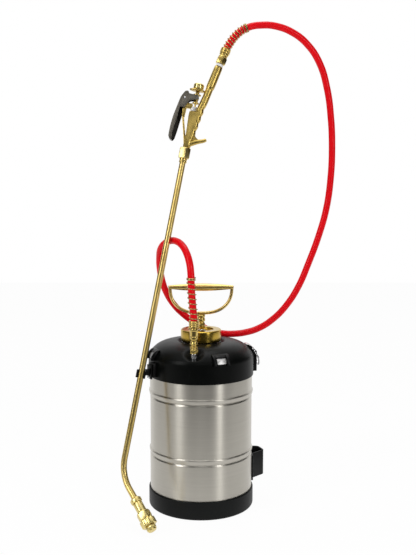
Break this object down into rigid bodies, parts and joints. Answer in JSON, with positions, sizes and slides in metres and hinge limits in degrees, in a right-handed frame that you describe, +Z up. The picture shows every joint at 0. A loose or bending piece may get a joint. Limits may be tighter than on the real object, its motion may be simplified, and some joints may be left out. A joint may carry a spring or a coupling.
{
  "type": "pump sprayer",
  "caption": "Hand-pumped compressed-air sprayer: upright steel tank with brass plunger pump, red hose, trigger valve and bent brass lance held in a side clip.",
  "frame": {"origin": "centre of the boot's flat underside, where the tank stands on the floor", "axes": "+Z up along the tank's axis, -Y towards the outlet at the front, +X to the right seen from the front"},
  "size_m": [0.3444, 0.2291, 0.7725],
  "materials": {
    "brushed_steel": "brushed round the tank",
    "plain_steel": "satin",
    "cast_brass": "cast and turned",
    "polished_brass": "polished",
    "black_plastic": "moulded, satin",
    "black_rubber": "matt",
    "red_hose": "smooth",
    "white_tape": "matt",
    "leather": "oiled",
    "clear_tube": "smooth"
  },
  "bodies": {
    "tank": {"tank_wall": "brushed_steel", "tank_bottom": "brushed_steel", "tank_dome": "brushed_steel", "tank_neck": "brushed_steel", "base_boot": "black_plastic", "top_cap": "black_plastic", "strap_clip_front": "brushed_steel", "strap_clip_right": "brushed_steel", "strap_clip_rear": "brushed_steel", "strap_clip_left": "brushed_steel", "strap_bracket": "black_plastic", "lance_clip": "black_plastic", "lance_clip_screw": "plain_steel", "outlet_stub": "plain_steel", "dip_tube": "clear_tube", "dip_strainer": "black_plastic", "swivel_nut": "cast_brass", "swivel_body": "cast_brass", "hose_ferrule_lower": "cast_brass", "hose": "red_hose", "hose_spring_lower": "cast_brass", "hose_spring_upper": "cast_brass", "hose_ferrule_upper": "cast_brass", "hose_coupling": "cast_brass", "seal_tape": "white_tape", "pump_gasket": "black_rubber", "valve_body": "cast_brass", "trigger_pin": "plain_steel", "packing_nut": "cast_brass", "stem_spring": "plain_steel", "lance_nut": "cast_brass", "lance_ferrule": "cast_brass", "lance_tube": "polished_brass", "tip_collar": "cast_brass", "tip_sleeve": "cast_brass", "tip_nut": "cast_brass"},
    "pump": {"pump_nut": "polished_brass", "rod_bush": "black_plastic", "pump_cylinder": "polished_brass", "check_valve_seat": "cast_brass"},
    "plunger": {"pump_rod": "plain_steel", "piston_nut": "cast_brass", "piston_cup": "leather", "piston_plate": "cast_brass", "handle_hub": "cast_brass", "pump_handle": "polished_brass"},
    "inlet_valve": {"check_valve": "black_rubber"},
    "trigger": {"trigger_lever": "plain_steel"},
    "stem": {"valve_stem": "plain_steel", "stem_knob": "cast_brass"},
    "spray_tip": {"tip_selector": "cast_brass", "nozzle": "cast_brass"},
    "ring": {"strap_ring": "plain_steel"}
  },
  "joints": [
    {"name": "pump_unscrew", "type": "hinge", "parent": "tank", "child": "pump", "pos_m": [0, 0, 0.278], "axis": [0, 0, 1], "range_deg": [0, 720]},
    {"name": "pump_stroke", "type": "slide", "parent": "pump", "child": "plunger", "axis": [0, 0, 1], "range_m": [0, 0.15]},
    {"name": "inlet_lift", "type": "slide", "parent": "pump", "child": "inlet_valve", "axis": [0, 0, -1], "range_m": [0, 0.002], "stiffness_N_per_m": 100, "springref_m": -0.002},
    {"name": "trigger_squeeze", "type": "hinge", "parent": "tank", "child": "trigger", "pos_m": [-0.0249, -0.00224, 0.65125], "axis": [0, -0.9903, 0.1387], "range_deg": [0, 11], "stiffness_Nm_per_rad": 0.5, "springref_deg": -20.05},
    {"name": "stem_lift", "type": "slide", "parent": "tank", "child": "stem", "axis": [0.1915, 0.1362, 0.972], "range_m": [0, 0.00414], "deforming": ["stem_spring"]},
    {"name": "tip_turn", "type": "hinge", "parent": "tank", "child": "spray_tip", "pos_m": [-0.0713, -0.1385, 0.0075], "axis": [-0.5093, 0.5496, 0.6623], "continuous": true},
    {"name": "ring_swing", "type": "hinge", "parent": "tank", "child": "ring", "pos_m": [0.0814, 0.01435, 0.25474], "axis": [0.1736, -0.9848, 0], "range_deg": [0, 100]}
  ],
  "couplings": [
    {"joint": "trigger_squeeze", "follows": "stem_lift", "rad_per_m": 46.3}
  ]
}
